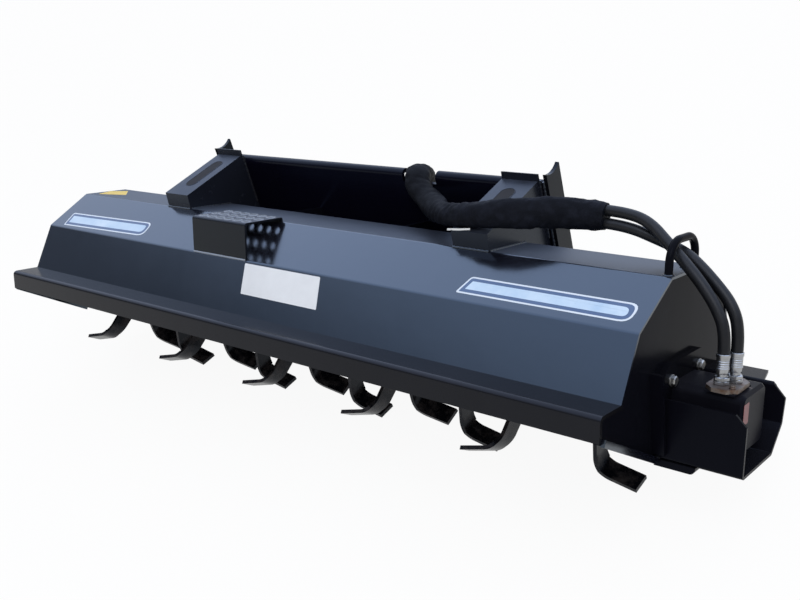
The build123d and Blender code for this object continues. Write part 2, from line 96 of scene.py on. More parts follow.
CAMERA_PLACE = hood(1656.2, -1406.5, 582.65)
VIEW_AHEAD, VIEW_UP = turned(-0.6139, 0.7527, -0.2377), turned(-0.150, 0.184, 0.971)
scene = bpy.context.scene
camera_data = bpy.data.cameras.new("camera")
camera = bpy.data.objects.new("camera", camera_data)
scene.collection.objects.link(camera)
camera_data.sensor_fit = "HORIZONTAL"
camera_data.sensor_width = 36.0
camera_data.lens = 43.06
camera_data.clip_end = 100
forward = VIEW_AHEAD.normalized()
right = forward.cross(VIEW_UP).normalized()
up = right.cross(forward)
turn = Matrix(((right.x, up.x, -forward.x), (right.y, up.y, -forward.y), (right.z, up.z, -forward.z)))
camera.matrix_world = Matrix.Translation(CAMERA_PLACE) @ turn.to_4x4()
scene.camera = camera
scene.view_settings.view_transform = "Standard"


# Materials

def add_node(tree, kind, **values):
    node = tree.nodes.new(kind)
    for key, value in values.items():
        setattr(node, key, value)
    return node


def fill_ramp(node, stops):
    """Sets a colour ramp's stops: each is a position with a colour or a grey."""
    elements = node.color_ramp.elements
    while len(elements) < len(stops):
        elements.new(0.5)
    for element, (position, colour) in zip(elements, stops):
        element.position = position
        element.color = (*colour, 1.0) if isinstance(colour, tuple) else (colour, colour, colour, 1.0)


def shade(colour, factor):
    return tuple(c * factor for c in colour)


class Nodes:
    """A small writer of node trees: each call adds one node and returns its output."""

    def __init__(self, name):
        self.material = bpy.data.materials.new(name)
        self.material.use_nodes = True
        self.tree = self.material.node_tree
        self.shader = self.tree.nodes["Principled BSDF"]
        self.output = self.tree.nodes["Material Output"]
        self.place = self.add("ShaderNodeTexCoord").outputs["Object"]

    def add(self, kind, **values):
        return add_node(self.tree, kind, **values)

    def set(self, socket, value):
        if isinstance(value, bpy.types.NodeSocket):
            self.tree.links.new(value, socket)
        else:
            socket.default_value = value

    def noise(self, scale, detail, rough=0.55, distortion=0.0, stretch=None):
        node = self.add("ShaderNodeTexNoise")
        place = self.place
        if stretch:
            mapping = self.add("ShaderNodeMapping")
            mapping.inputs["Scale"].default_value = stretch
            self.tree.links.new(self.place, mapping.inputs["Vector"])
            place = mapping.outputs["Vector"]
        self.tree.links.new(place, node.inputs["Vector"])
        node.inputs["Scale"].default_value = scale
        node.inputs["Detail"].default_value = detail
        node.inputs["Roughness"].default_value = rough
        node.inputs["Distortion"].default_value = distortion
        return node.outputs["Fac"]

    def ramp(self, factor, *stops):
        node = self.add("ShaderNodeValToRGB")
        self.tree.links.new(factor, node.inputs["Fac"])
        fill_ramp(node, stops)
        return node.outputs["Color"]

    def mix(self, factor, a, b):
        node = self.add("ShaderNodeMix", data_type="RGBA", blend_type="MIX")
        self.set(node.inputs[0], factor)
        for socket, value in ((node.inputs[6], a), (node.inputs[7], b)):
            self.set(socket, (*value, 1.0) if isinstance(value, tuple) and len(value) == 3 else value)
        return node.outputs[2]

    def math(self, operation, a, b):
        node = self.add("ShaderNodeMath", operation=operation)
        self.set(node.inputs[0], a)
        self.set(node.inputs[1], b)
        return node.outputs[0]

    def along(self, vector, direction):
        """How far a vector reaches along a fixed direction."""
        node = self.add("ShaderNodeVectorMath", operation="DOT_PRODUCT")
        self.tree.links.new(vector, node.inputs[0])
        node.inputs[1].default_value = direction
        return node.outputs["Value"]

    def component(self, vector, letter):
        node = self.add("ShaderNodeSeparateXYZ")
        self.tree.links.new(vector, node.inputs[0])
        return node.outputs[letter]

    def bump(self, height, strength, distance, normal=None):
        node = self.add("ShaderNodeBump")
        self.set(node.inputs["Height"], height)
        node.inputs["Strength"].default_value = strength
        node.inputs["Distance"].default_value = distance
        if normal is not None:
            self.tree.links.new(normal, node.inputs["Normal"])
        return node.outputs["Normal"]

    def finish(self, **inputs):
        for key, value in inputs.items():
            name = key.replace("_", " ")
            socket = self.shader.inputs[name]
            if isinstance(value, tuple) and len(value) == 3 and socket.type == "RGBA":
                value = (*value, 1.0)
            self.set(socket, value)
        return self.material


def gloss_paint(name, colour=(0.003, 0.0032, 0.0055), dust_and_reflection=0.05, rough=0.11, gloss=0.5,
                tint=(0.62, 0.8, 1.0), dust_and_reflection_colour=(0.07, 0.072, 0.085), dull_above=None,
                painted_top_colour=(0.015, 0.015, 0.02)):
    """Blue-black machine paint: orange peel, handling marks and a film on what faces up: dust, and on the braces a
    painted bluish reflection of the sky.

    Faces that are level with the hood's top and higher than dull_above get a painted matte tone in place of their
    reflection.
    """
    n = Nodes(name)
    cloud = n.noise(3.2, 6, 0.6)
    fine = n.noise(38, 5, 0.65)
    streak = n.noise(9, 5, 0.6, 0.4, (1.0, 0.35, 0.35))
    geometry = n.add("ShaderNodeNewGeometry")
    # Film on upward faces: dust, and on the braces, where it is strong and bluish, a painted reflection of the sky
    # on their tops
    upward = n.ramp(n.component(geometry.outputs["Normal"], "Z"), (0.35, 0.0), (0.95, 1.0))
    film = n.math("MULTIPLY", n.math("MULTIPLY", n.ramp(cloud, (0.35, 0.0), (0.72, 1.0)), upward), dust_and_reflection)
    specks = n.math("MULTIPLY", n.ramp(fine, (0.58, 0.0), (0.74, 1.0)), min(dust_and_reflection, 0.2) * 0.3)
    cover = n.math("ADD", film, specks)
    base = n.mix(cover, n.mix(streak, colour, shade(colour, 1.7)), dust_and_reflection_colour)
    roughness = n.math("ADD", n.math("MULTIPLY", streak, 0.08),
                       n.math("ADD", n.math("MULTIPLY", cover, 0.55), rough))
    if dull_above is not None:
        # Level tops above dull_above: a painted matte tone with streaks stands in for their reflection, and the
        # roughness is raised
        level = n.along(geometry.outputs["Normal"], UP)
        tall = n.along(geometry.outputs["Position"], UP)
        painted_top_mask = n.math("MULTIPLY", n.math("GREATER_THAN", level, 0.97),
                         n.math("GREATER_THAN", tall, dull_above))
        marks = n.noise(26, 5, 0.65, 0.2, (1.0, 0.25, 0.25))
        painted_top_tone = n.mix(marks, shade(painted_top_colour, 0.6), shade(painted_top_colour, 1.4))
        base = n.mix(painted_top_mask, base, painted_top_tone)
        roughness = n.math("MAXIMUM", roughness, n.math("MULTIPLY", painted_top_mask, 0.52))
    peel = n.noise(520, 2, 0.5)
    wave = n.noise(14, 2, 0.4)
    normal = n.bump(peel, 0.05, 0.0004, n.bump(wave, 0.06, 0.004))
    return n.finish(Base_Color=base, Roughness=roughness, Normal=normal, IOR=1.7, Specular_IOR_Level=gloss,
                    Specular_Tint=tint)


def worn_paint(name):
    """Paint on the tines: black gloss, a little brown where it is thin and at the edges."""
    n = Nodes(name)
    geometry = n.add("ShaderNodeNewGeometry")
    edge = n.ramp(geometry.outputs["Pointiness"], (0.5, 0.0), (0.56, 1.0))
    patch = n.ramp(n.noise(30, 6, 0.7), (0.45, 0.0), (0.62, 1.0))
    wear = n.math("MULTIPLY", n.math("MULTIPLY", edge, patch), 0.5)
    rust = n.mix(n.noise(70, 4, 0.6), (0.05, 0.034, 0.026), (0.075, 0.07, 0.07))
    film = n.math("MULTIPLY", n.ramp(n.noise(11, 6, 0.65), (0.5, 0.0), (0.72, 1.0)), 0.35)
    base = n.mix(wear, n.mix(film, (0.003, 0.003, 0.0045), (0.0055, 0.005, 0.0065)), rust)
    roughness = n.math("ADD", n.math("MULTIPLY", n.noise(24, 5, 0.6), 0.1), 0.22)
    normal = n.bump(n.noise(260, 4, 0.6), 0.06, 0.0004)
    return n.finish(Base_Color=base, Roughness=roughness, Normal=normal, IOR=1.5, Specular_IOR_Level=0.17,
                    Specular_Tint=(0.75, 0.85, 1.0))


def metal(name, colour, rough, stain=(0.20, 0.15, 0.08), amount=0.35):
    """Plated or bare steel with fine scratches, mottled by this amount of a stain."""
    n = Nodes(name)
    patch = n.math("MULTIPLY", n.ramp(n.noise(60, 6, 0.65), (0.42, 0.0), (0.68, 1.0)), amount)
    base = n.mix(patch, n.mix(n.noise(220, 3, 0.6), shade(colour, 0.86), colour), stain)
    roughness = n.math("ADD", n.math("MULTIPLY", n.noise(150, 5, 0.7), 0.25), rough)
    normal = n.bump(n.noise(900, 3, 0.6), 0.18, 0.0003)
    return n.finish(Base_Color=base, Roughness=roughness, Normal=normal, Metallic=1.0)


def rubber(name):
    """Hose cover: matte black rubber with faint wrap marks and a dusty film."""
    n = Nodes(name)
    dusty = n.math("MULTIPLY", n.ramp(n.noise(26, 6, 0.65), (0.45, 0.0), (0.75, 1.0)), 0.4)
    base = n.mix(dusty, (0.006, 0.0065, 0.008), (0.022, 0.022, 0.025))
    roughness = n.math("ADD", n.math("MULTIPLY", n.noise(90, 4, 0.6), 0.2), 0.3)
    normal = n.bump(n.noise(700, 3, 0.6), 0.25, 0.0005)
    return n.finish(Base_Color=base, Roughness=roughness, Normal=normal, Specular_IOR_Level=0.2)


def woven(name):
    """Sleeve cloth: dense black nylon weave, rubbed in patches, and near black towards the plate's notch as painted
    shade.
    """
    n = Nodes(name)
    warp = n.add("ShaderNodeTexWave", wave_type="BANDS", bands_direction="X", wave_profile="SIN")
    weft = n.add("ShaderNodeTexWave", wave_type="BANDS", bands_direction="Z", wave_profile="SIN")
    for wave in (warp, weft):
        n.tree.links.new(n.place, wave.inputs["Vector"])
        wave.inputs["Scale"].default_value = 170
        wave.inputs["Distortion"].default_value = 1.2
        wave.inputs["Detail"].default_value = 1.0
    threads = n.math("MAXIMUM", warp.outputs["Fac"], weft.outputs["Fac"])
    rub = n.ramp(n.noise(42, 5, 0.6), (0.45, 0.0), (0.75, 1.0))
    base = n.mix(n.math("MULTIPLY", rub, 0.5), (0.003, 0.0036, 0.006), (0.014, 0.016, 0.025))
    # Painted shade: towards the plate's notch the cloth turns near black, as it lies in shadow there
    outward = n.component(n.add("ShaderNodeNewGeometry").outputs["Position"], "X")
    base = n.mix(n.ramp(outward, (0.2, 0.0), (0.40, 1.0)), (0.001, 0.0011, 0.002), base)
    roughness = n.math("ADD", n.math("MULTIPLY", n.noise(60, 4, 0.6), 0.2), 0.55)
    normal = n.bump(threads, 0.35, 0.0007, n.bump(n.noise(48, 5, 0.6), 0.5, 0.004))
    return n.finish(Base_Color=base, Roughness=roughness, Normal=normal, Specular_IOR_Level=0.07)


def sticker(name, colour, second=None, rough=0.35):
    """Printed vinyl or moulded plastic: an even colour that fades a little to a second one, softly glossy."""
    n = Nodes(name)
    fade = n.ramp(n.noise(12, 4, 0.6), (0.3, 0.0), (0.75, 1.0))
    base = n.mix(fade, colour, second or shade(colour, 0.88))
    roughness = n.math("ADD", n.math("MULTIPLY", n.noise(80, 4, 0.6), 0.15), rough - 0.07)
    normal = n.bump(n.noise(300, 2, 0.5), 0.04, 0.0003)
    return n.finish(Base_Color=base, Roughness=roughness, Normal=normal)


black = gloss_paint("gloss_black")
SATIN_BLACK = (0.004, 0.0038, 0.0045)
# The hood's and the step's level tops carry a painted tone in place of their reflection
hood_black = gloss_paint("hood_black", dull_above=hood(0, 0, HOOD_TOP - 10).dot(UP))
step_black = gloss_paint("step_black", colour=SATIN_BLACK, gloss=0.12, rough=0.2,
                         dull_above=hood(0, 0, STEP_TOP - 7).dot(UP), painted_top_colour=(0.06, 0.065, 0.08))
lip_black = gloss_paint("lip_black", colour=SATIN_BLACK, gloss=0.11, rough=0.16, tint=(0.8, 0.86, 1.0))
end_black = gloss_paint("end_black", colour=(0.0025, 0.0026, 0.004), gloss=0.012, rough=0.14,
                        tint=(0.8, 0.88, 1.0))
guard_black = gloss_paint("guard_black", colour=(0.002, 0.002, 0.0035), gloss=0.03, rough=0.2,
                          tint=(0.7, 0.8, 1.0))
plate_black = gloss_paint("plate_black", colour=(0.0018, 0.0016, 0.0045), gloss=0.06, rough=0.18, dust_and_reflection=0.02)
flange_black = gloss_paint("flange_black", colour=(0.003, 0.003, 0.004), gloss=0.08, rough=0.2, dust_and_reflection=0.02)
# On the braces the strong bluish film on the tops is a painted reflection of the sky, over some dust mottling
brace_black = gloss_paint("brace_black", colour=(0.007, 0.008, 0.012), rough=0.22, dust_and_reflection=0.9, gloss=0.14,
                          dust_and_reflection_colour=(0.075, 0.09, 0.125))
weld_paint = gloss_paint("weld_paint", colour=(0.012, 0.012, 0.014), dust_and_reflection=0.1, rough=0.22, gloss=0.35)
tine_black = worn_paint("tine_black")
tube_black = gloss_paint("tube_black", dust_and_reflection=0.3, rough=0.28, gloss=0.2)
motor_black = gloss_paint("motor_black", colour=(0.004, 0.004, 0.006), dust_and_reflection=0.12, rough=0.24, gloss=0.014)
# Light grey paint for the step's grip rims and welds: painted highlights where they catch the light
step_glint_paint = gloss_paint("step_glint_paint", colour=(0.15, 0.16, 0.18), dust_and_reflection=0.3, rough=0.3, gloss=0.5,
                       dust_and_reflection_colour=(0.25, 0.26, 0.28))
# Dark paint for the sheet over each brace's slot: painted shade of the slot's hollow
slot_shade_paint = gloss_paint("slot_shade_paint", colour=(0.012, 0.0105, 0.010), dust_and_reflection=0.3, rough=0.5, gloss=0.06,
                         dust_and_reflection_colour=(0.035, 0.032, 0.032))
zinc = metal("zinc_plate", (0.38, 0.38, 0.37), 0.26)
zinc_bright = metal("zinc_bright", (0.36, 0.37, 0.385), 0.2, stain=(0.24, 0.22, 0.19), amount=0.25)
rusty = metal("rusted_steel", (0.19, 0.165, 0.145), 0.42, stain=(0.11, 0.055, 0.03), amount=0.8)
bare = metal("bare_steel", (0.42, 0.41, 0.4), 0.32, amount=0.3)
hose_black = rubber("hose_rubber")
sleeve_black = woven("sleeve_cloth")
tie_white = sticker("tie_plastic", (0.72, 0.72, 0.70))
decal_blue = sticker("decal_blue", (0.025, 0.065, 0.16), (0.045, 0.09, 0.19), 0.3)
decal_pale = sticker("decal_pale", (0.36, 0.50, 0.66), (0.58, 0.68, 0.78), 0.3)
decal_silver = sticker("decal_silver", (0.62, 0.68, 0.75), rough=0.3)
label_white = sticker("label_white", (0.74, 0.75, 0.76))
label_red = sticker("label_red", (0.13, 0.008, 0.012))
label_yellow = sticker("label_yellow", (0.80, 0.55, 0.04))

slots = {"black_paint": black, "tine_paint": tine_black, "zinc_steel": zinc, "bare_steel": bare,
         "rusty_steel": rusty, "motor_paint": motor_black, "cast_housing": motor_black,
         "hose_rubber": hose_black, "sleeve_fabric": sleeve_black}
# Nodes whose paint differs from their slot's, because each catches the light of the photograph in its own way
special = {"hood": hood_black, "step": step_black, "front_lip": lip_black, "attach_plate": plate_black,
           "rotor_tube": tube_black, "brace_left": brace_black, "brace_right": brace_black,
           "side_flange_left": flange_black, "side_flange_right": flange_black,
           "end_plate_left": end_black, "end_plate_right": end_black, "hose_loop": end_black,
           "motor_flange": end_black, "motor_guard": guard_black, "guard_foot": guard_black,
           "guard_rib": guard_black}
node_slot = {entry["node"]: entry["material_slot"] for entry in frame["record"]["subparts"]}
for name, node in nodes.items():
    material = special.get(name, slots[node_slot[name]])
    if node.material_slots:
        for index in range(len(node.material_slots)):
            node.material_slots[index].material = material
    else:
        node.data.materials.append(material)


# Pieces

SHARP_ANGLE = math.radians(35)


def piece(name, data, material, body="hood_frame"):
    """A visible piece that rides on a body, shaded smooth but for its edges."""
    thing = bpy.data.objects.new(name, data)
    scene.collection.objects.link(thing)
    data.materials.append(material)
    if isinstance(data, bpy.types.Mesh):
        for face in data.polygons:
            face.use_smooth = True
        data.set_sharp_from_angle(angle=SHARP_ANGLE)
    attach(thing, body)
    return thing


def mesh_from(name, points, faces):
    data = bpy.data.meshes.new(name)
    data.from_pydata([tuple(p) for p in points], [], faces)
    data.update()
    return data


def ring(place, direction, radius, sides=0, count=24):
    """Points round a direction, in metres: a circle, or a polygon whose flats are at the radius."""
    turn = direction.to_track_quat("Z", "Y")
    points = []
    for k in range(count):
        angle = math.tau * k / count
        reach = radius
        if sides:
            reach /= math.cos((angle % (math.tau / sides)) - math.pi / sides)
        points.append(place + turn @ Vector((reach * math.cos(angle), reach * math.sin(angle), 0)))
    return points


class Shape:
    """Gathers several solids into the mesh of one piece."""

    def __init__(self):
        self.points, self.faces = [], []

    def loft(self, rings):
        """A closed solid through rings of equally many points."""
        start, count = len(self.points), len(rings[0])
        for points in rings:
            self.points += points
        for r in range(len(rings) - 1):
            for k in range(count):
                a, b = start + r * count + k, start + r * count + (k + 1) % count
                self.faces.append((a, b, b + count, a + count))
        end = start + (len(rings) - 1) * count
        self.faces.append(tuple(range(start, start + count))[::-1])
        self.faces.append(tuple(range(end, end + count)))

    def turned(self, place, direction, profile, count=24):
        """A turned solid from heights and radii in millimetres, each with a number of flats or none."""
        self.loft([ring(place + direction * (height / 1000), direction, radius / 1000, sides, count)
                   for height, radius, sides in profile])

    def bolt(self, place, direction, flats, washer=0, height=None):
        """A hexagon head across these flats, on a washer of this radius or on none."""
        height = height or flats * 0.42
        chamfer, low = flats * 0.47, 0
        if washer:
            self.turned(place, direction, [(-0.3, washer, 0), (2.2, washer, 0), (2.7, washer - 0.6, 0)])
            height += 2.7
            low = 2.5
        self.turned(place, direction, [(low, chamfer, 0), (low + 0.7, flats / 2, 6),
                                       (height - 1.3, flats / 2, 6), (height, chamfer, 0)])

    def bead(self, points, radius, closed=False, step=3.2):
        """A weld bead in metres along a line of points, rippled and slightly uneven."""
        line = [Vector(p) for p in points] + ([Vector(points[0])] if closed else [])
        rings = []
        for a, b in zip(line, line[1:]):
            parts = max(1, round((b - a).length * 1000 / step))
            direction = (b - a).normalized()
            for k in range(parts + (b == line[-1])):
                place = a.lerp(b, k / parts)
                size = radius * (1 + 0.14 * math.sin(len(rings) * 1.9) + random.uniform(-0.08, 0.08))
                rings.append(ring(place, direction, size / 1000, count=8))
        self.loft(rings)

    def slab(self, corners, lift, thick):
        """A flat plate over these corners, from lift to lift + thick millimetres above their plane."""
        corners = [Vector(c) for c in corners]
        normal = (corners[1] - corners[0]).cross(corners[2] - corners[1]).normalized() / 1000
        self.loft([[c + normal * lift for c in corners], [c + normal * (lift + thick) for c in corners]])

    def piece(self, name, material, body="hood_frame", slot="black_paint"):
        return piece(name, mesh_from(name, self.points, self.faces), material, body)


def rounded(corners, radii):
    """Corners of a flat outline in scene metres, each cut to a curve that starts this far from it."""
    points = []
    for k, corner in enumerate(corners):
        corner = Vector(corner)
        before, after = Vector(corners[k - 1]), Vector(corners[(k + 1) % len(corners)])
        cut = radii[k] / 1000
        a = corner + (before - corner).normalized() * cut
        b = corner + (after - corner).normalized() * cut
        points += [a.lerp(corner, t).lerp(corner.lerp(b, t), t) for t in (0, 0.2, 0.4, 0.6, 0.8, 1)]
    return points


def shrunk(corners, along, across):
    """Four corners moved in by these distances in metres along the first side and along the second."""
    a, b, c, d = (Vector(p) for p in corners)
    u, v = (b - a).normalized() * along, (d - a).normalized() * across
    return [a + u + v, b - u + v, c - u - v, d + u - v]


def spline(name, points):
    """A smooth NURBS line with these control points."""
    curve = bpy.data.curves.new(name, "CURVE")
    curve.dimensions = "3D"
    line = curve.splines.new("NURBS")
    line.points.add(len(points) - 1)
    for target, point in zip(line.points, points):
        target.co = (*point, 1.0)
    line.order_u = 3
    line.use_endpoint_u = True
    line.resolution_u = 16
    curve.resolution_u = 16
    return curve


def line_points(curve):
    """The points of a curve's own line, in order."""
    thing = bpy.data.objects.new("line", curve)
    data = bpy.data.meshes.new_from_object(thing)
    points = [v.co.copy() for v in data.vertices]
    bpy.data.objects.remove(thing)
    bpy.data.meshes.remove(data)
    return points


def line_length(points):
    return sum((b - a).length for a, b in zip(points, points[1:]))


def carried_frames(points, side):
    """Each point with its side and its normal, the side carried along without twist."""
    frames = []
    across = Vector(side)
    for index, point in enumerate(points):
        ahead = points[min(index + 1, len(points) - 1)]
        behind = points[max(index - 1, 0)]
        tangent = (ahead - behind).normalized()
        across = (across - tangent * across.dot(tangent)).normalized()
        frames.append((point, across, tangent.cross(across)))
    return frames


# Hoses and sleeve, near the CAD tubes: the ports' places, the ferrules' height above the hood frame's origin,
# the two diameters, how far each hose lies from the sleeve's centreline and how far its straight end reaches

PORT_A, PORT_B, FERRULE_TOP = (1046.5, 291.5), (1061.5, 318.5), 64
HOSE, SLEEVE, SPREAD, LEAD = 23.0, 50.0, 13.2, 46.0
# Each end of the sleeve with the point next to it, the upper in the hood frame and the lower in the plate's
UPPER_END, AFTER_UPPER = (772, 333, 288), (692, 325, 291)
LOWER_END, BEFORE_LOWER = (116, 108, -230), (118, 108, -155)


def beside_end(end, inner, side):
    """Where the hoses meet the sleeve's end: for each, the point on its face and one further out."""
    end, inner, side = Vector(end), Vector(inner), Vector(side)
    out = (end - inner).normalized()
    side = (side - out * side.dot(out)).normalized()
    return [(end + side * offset, end + side * offset + out * LEAD) for offset in (SPREAD, -SPREAD)]


hose_end_a, hose_end_b = beside_end(UPPER_END, AFTER_UPPER, (0, 0, 1))
tail_end_b, tail_end_a = beside_end(LOWER_END, BEFORE_LOWER, (1, 0, 0))
# Each hose lies a little further in than its tube between the loop and the port, as in the photograph
hose_route_a = [(*PORT_A, FERRULE_TOP), (*PORT_A, 106), (1024, 294, 150), (990, 298, 190), (950, 308, 224),
                (910, 323, 252), (866, 334, 286), hose_end_a[1], hose_end_a[0]]
hose_route_b = [(*PORT_B, FERRULE_TOP), (*PORT_B, 109), (1043, 322, 152), (1003, 328, 190), (965, 336, 219),
                (933, 344, 236), (884, 346, 251), hose_end_b[1], hose_end_b[0]]
tail_route_a = [*tail_end_a, (100, 110, -318), (98, 112, -360), (101, 112, -400)]
tail_route_b = [*tail_end_b, (130, 110, -316), (136, 108, -354), (139, 106, -390)]


def hose(name, points):
    curve = spline(name, points)
    length = line_length(line_points(curve))
    curve.bevel_depth = HOSE / 2000
    curve.bevel_resolution = 8
    thing = piece(name + "_cover", curve, hose_black)
    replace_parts(thing, name)


hose("hose_a", [hood(*p) for p in hose_route_a])
hose("hose_b", [hood(*p) for p in hose_route_b])

# Between its ends the cloth follows the photograph: over the brace, down to a belly and flat through the notch
sleeve_line = [hood(*p) for p in (UPPER_END, AFTER_UPPER, (600, 274, 286), (510, 258, 276), (430, 280, 264),
                                  (360, 326, 257))]
sleeve_line += [plate(*p) for p in ((266, -62, -62), (212, -34, -46), (186, 4, -27), (162, 46, -44),
                                    (136, 88, -92), (120, 105, -150), LOWER_END)]
sleeve_points = line_points(spline("sleeve_line", sleeve_line))
total = line_length(sleeve_points)
# Share of the length, half height, half depth, twist in degrees
section_table = [(0.0, 27, 25, 0), (0.03, 31, 24, 0), (0.12, 33, 21, 5), (0.22, 32, 20, 8), (0.30, 28, 21, 20),
                 (0.38, 25, 22, 35), (0.46, 26, 22, 40), (0.54, 30, 21, 62), (0.61, 32, 20, 84),
                 (0.66, 32.5, 20, 90), (0.71, 32, 20, 90), (0.77, 31, 22, 80), (0.87, 27, 22, 60),
                 (0.97, 25, 24, 45), (1.0, 23, 22, 45)]
SECTION_POINTS = 48
FOLD_PLACE, RIDGE_PLACE, BUNCH_WIDTH = 0.42, 0.47, 0.13


def between(table, share):
    """The table's values at a share of the length, eased from row to row."""
    for low, high in zip(table, table[1:]):
        if share <= high[0]:
            t = (share - low[0]) / (high[0] - low[0])
            t = t * t * (3 - 2 * t)
            return [a + (b - a) * t for a, b in zip(low[1:], high[1:])]
    return list(table[-1][1:])


def bunched(share, place):
    """How strongly the cloth bunches at a share of the length: 1 at the place, fading to both sides."""
    return math.exp(-((share - place) / BUNCH_WIDTH) ** 2)


def sleeve_section(point, across, normal, share):
    """The cloth's outline round one point of its centreline: an ellipse with soft folds and fine ridges."""
    high, deep, twist = between(section_table, share)
    turn = math.radians(twist)
    outline = []
    for k in range(SECTION_POINTS):
        angle = math.tau * k / SECTION_POINTS
        u, v = high * math.cos(angle), deep * math.sin(angle)
        probe = Vector((share * 30, math.cos(angle) * 1.3, math.sin(angle) * 1.3))
        fold = (2.2 + 1.5 * bunched(share, FOLD_PLACE)) * noise.noise(probe) + 1.4 * noise.noise(probe * 2.3)
        ridge = 1.0 + 1.6 * bunched(share, RIDGE_PLACE)
        ridge *= math.sin(share * 190 + 3 * math.sin(angle + share * 20))
        scale = 1 + (fold + ridge * (0.4 + noise.noise(probe * 0.6))) / 30
        u, v = u * scale, v * scale
        outline.append(point + (across * (u * math.cos(turn) - v * math.sin(turn))
                                + normal * (u * math.sin(turn) + v * math.cos(turn))) / 1000)
    return outline


sections = []
travelled = 0.0
previous = sleeve_points[0]
for point, across, normal in carried_frames(sleeve_points, UP):
    travelled += (point - previous).length
    previous = point
    sections.append(sleeve_section(point, across, normal, travelled / total))
cloth = Shape()
cloth.loft(sections)
sleeve = cloth.piece("sleeve_cloth_tube", sleeve_black, slot="sleeve_fabric")
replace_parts(sleeve, "hose_sleeve")


# Fasteners and fittings, in millimetres of the hood frame: the outer faces of the motor's flange, of the bearing
# and of the end plate, and half the spacing of the flange's four bolts and of the bearing's

MOTOR_FLANGE_X, BEARING_X, END_PLATE_X = 960, -962, 948
MOTOR_BOLT, BEARING_BOLT = 66, 57.6
motor_bolts, bearing_bolts = Shape(), Shape()
for side_y in (-1, 1):
    for side_z in (-1, 1):
        motor_bolts.bolt(hood(MOTOR_FLANGE_X, ROTOR_Y + side_y * MOTOR_BOLT, ROTOR_Z + side_z * MOTOR_BOLT),
                         OUT, 18, 12)
        bearing_bolts.bolt(hood(BEARING_X, ROTOR_Y + side_y * BEARING_BOLT, ROTOR_Z + side_z * BEARING_BOLT),
                           LEFT, 20, 13.5)
motor_bolts.bolt(hood(END_PLATE_X, 426, 8), OUT, 15, 9)
motor_bolts.piece("motor_bolts", zinc, slot="zinc_steel")
bearing_bolts.piece("bearing_bolts", zinc, slot="zinc_steel")
PORT_TOP = 5
port_bolts = Shape()
port_bolts.bolt(hood(1034.5, 333, PORT_TOP), UP, 9, 6)
port_bolts.bolt(hood(1073.5, 277, PORT_TOP), UP, 9, 6)
port_bolts.bolt(hood(1083, 334, -14), OUT, 15, 0, 8)
port_bolts.piece("port_bolts", rusty, slot="rusty_steel")

# Hose fittings: hexagon, neck and crimped ferrule, as heights and radii with the number of flats
ferrule = [(20, 10.2, 0), (23, 11.6, 0), (29, 11.6, 0), (29.6, 13.0, 0), (32.4, 13.0, 0), (33, 12.3, 0)]
for start in (36.5, 41, 45.5):
    ferrule += [(start, 12.3, 0), (start + 0.6, 11.8, 0), (start + 1.8, 11.8, 0), (start + 2.4, 12.3, 0)]
ferrule += [(51.5, 12.2, 0), (52.3, 13.3, 0), (58.2, 13.3, 0), (59, 12.2, 0)]
hexagon = [(0, 12.2, 0), (0.8, 13, 6), (6.6, 13, 6), (7.4, 12.2, 0), (8.2, 12.2, 0), (9, 13, 6), (14, 13, 6),
           (15, 12.2, 0), (15.2, 9.4, 0), (19.8, 9.4, 0)]
for name, port in (("fitting_a", PORT_A), ("fitting_b", PORT_B)):
    fitting = Shape()
    fitting.turned(hood(*port, PORT_TOP), UP, hexagon + ferrule, 48)
    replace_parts(fitting.piece(name + "_detail", zinc_bright, slot="zinc_steel"), name)

# Two bolts through every tine, with their nuts, and the welds of each flange on the tube. Of a flange's tines the
# two that point right stand at the first angle and opposite it, with their straps on the flange's left face. The two
# that point left are 60 degrees on to the given side, with their straps on its right face.
TINE_PITCH, STRAP_FACE, FLANGE_FACE = 175, 14, 5
BOLT_REACHES = (70, 88)
TUBE_WELD_X, TUBE_WELD_RADIUS, TUBE_WELD_POINTS = 6, 39, 48
tine_places = [(-18.5, 1), (-6.0, -1)] * 4 + [(101.5, -1), (-6.0, -1)]
for index, (first, side) in enumerate(tine_places):
    bolts, beads = Shape(), Shape()
    x = (index - 4.5) * TINE_PITCH
    for angle, way in ((first, -1), (first + 180, -1), (first + side * 60, 1), (first + side * 60 + 180, 1)):
        angle = math.radians(angle)
        for reach in BOLT_REACHES:
            y, z = ROTOR_Y - reach * math.sin(angle), ROTOR_Z - reach * math.cos(angle)
            bolts.bolt(hood(x + way * STRAP_FACE, y, z), OUT * way, 15, 0)
            bolts.bolt(hood(x - way * FLANGE_FACE, y, z), -OUT * way, 15, 9.5, 8)
    for way in (-1, 1):
        rim = []
        for k in range(TUBE_WELD_POINTS):
            angle = k * math.tau / TUBE_WELD_POINTS
            rim.append(hood(x + way * TUBE_WELD_X, ROTOR_Y + TUBE_WELD_RADIUS * math.cos(angle),
                            ROTOR_Z + TUBE_WELD_RADIUS * math.sin(angle)))
        beads.bead(rim, 3.2, closed=True, step=5)
    bolts.piece(f"tine_bolts_{index + 1}", tine_black, "rotor", "tine_paint")
    beads.piece(f"tine_flange_weld_{index + 1}", weld_paint, "rotor")
